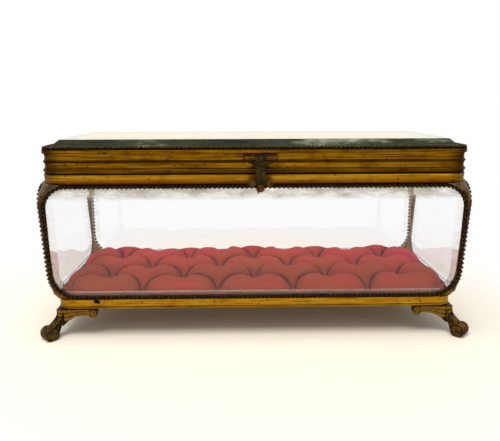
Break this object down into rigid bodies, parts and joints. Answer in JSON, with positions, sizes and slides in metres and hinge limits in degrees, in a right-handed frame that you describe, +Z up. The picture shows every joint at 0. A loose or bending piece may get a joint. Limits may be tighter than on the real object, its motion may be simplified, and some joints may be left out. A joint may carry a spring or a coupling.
{
  "type": "jewelry box",
  "caption": "Long gilt-brass and bevelled-glass jewelry box with a hinged glass lid, beaded panel borders, scroll feet, a tufted cushion and a front hasp.",
  "frame": {"origin": "on the floor under the middle of the box", "axes": "+X along the length to the right, +Y to the rear with the hasp at -Y, +Z up"},
  "size_m": [0.3112, 0.1312, 0.1416],
  "materials": {
    "gilt_brass": "worn gilding over brass with dark patina in the hollows",
    "beaded_brass": "beaded strip, gold beads on dark patina",
    "patinated_brass": "dark olive-brown patina",
    "clip_brass": "plain bent sheet",
    "bevelled_glass": "clear polished glass with wide bevels",
    "rose_silk": "ribbed rose silk, deep tufted",
    "pine_board": "plain board under the cushion"
  },
  "bodies": {
    "case": {"catch_plate": "patinated_brass", "corner_post_front_left": "gilt_brass", "corner_post_front_right": "gilt_brass", "corner_post_rear_left": "gilt_brass", "corner_post_rear_right": "gilt_brass", "cushion": "rose_silk", "cushion_board": "pine_board", "floor_plate": "gilt_brass", "foot_front_left": "gilt_brass", "foot_front_right": "gilt_brass", "foot_rear_left": "gilt_brass", "foot_rear_right": "gilt_brass", "front_border": "beaded_brass", "front_clips": "clip_brass", "front_glass": "bevelled_glass", "hinge_case_leaf_left": "gilt_brass", "hinge_case_leaf_right": "gilt_brass", "hinge_case_rivets": "gilt_brass", "hinge_pin_left": "gilt_brass", "hinge_pin_right": "gilt_brass", "left_border": "beaded_brass", "left_clips": "clip_brass", "left_glass": "bevelled_glass", "lower_rail": "gilt_brass", "rear_border": "beaded_brass", "rear_clips": "clip_brass", "rear_glass": "bevelled_glass", "right_border": "beaded_brass", "right_clips": "clip_brass", "right_glass": "bevelled_glass", "upper_rim": "gilt_brass"},
    "lid": {"lid_frame": "gilt_brass", "lid_glass": "bevelled_glass", "lid_border": "beaded_brass", "hinge_lid_leaf_left": "gilt_brass", "hinge_lid_leaf_right": "gilt_brass", "hinge_lid_rivets": "gilt_brass", "hasp_hinge_plate": "patinated_brass", "hasp_pin": "patinated_brass"},
    "hasp": {"hasp_strap": "patinated_brass", "hasp_knob": "patinated_brass"}
  },
  "joints": [
    {"name": "lid_hinge", "type": "hinge", "parent": "case", "child": "lid", "pos_m": [0, 0.0585, 0.11915], "axis": [-1, 0, 0], "range_deg": [0, 100]},
    {"name": "hasp_hinge", "type": "hinge", "parent": "lid", "child": "hasp", "pos_m": [0.003, -0.0581, 0.1293], "axis": [-1, 0, 0], "range_deg": [0, 120]}
  ]
}
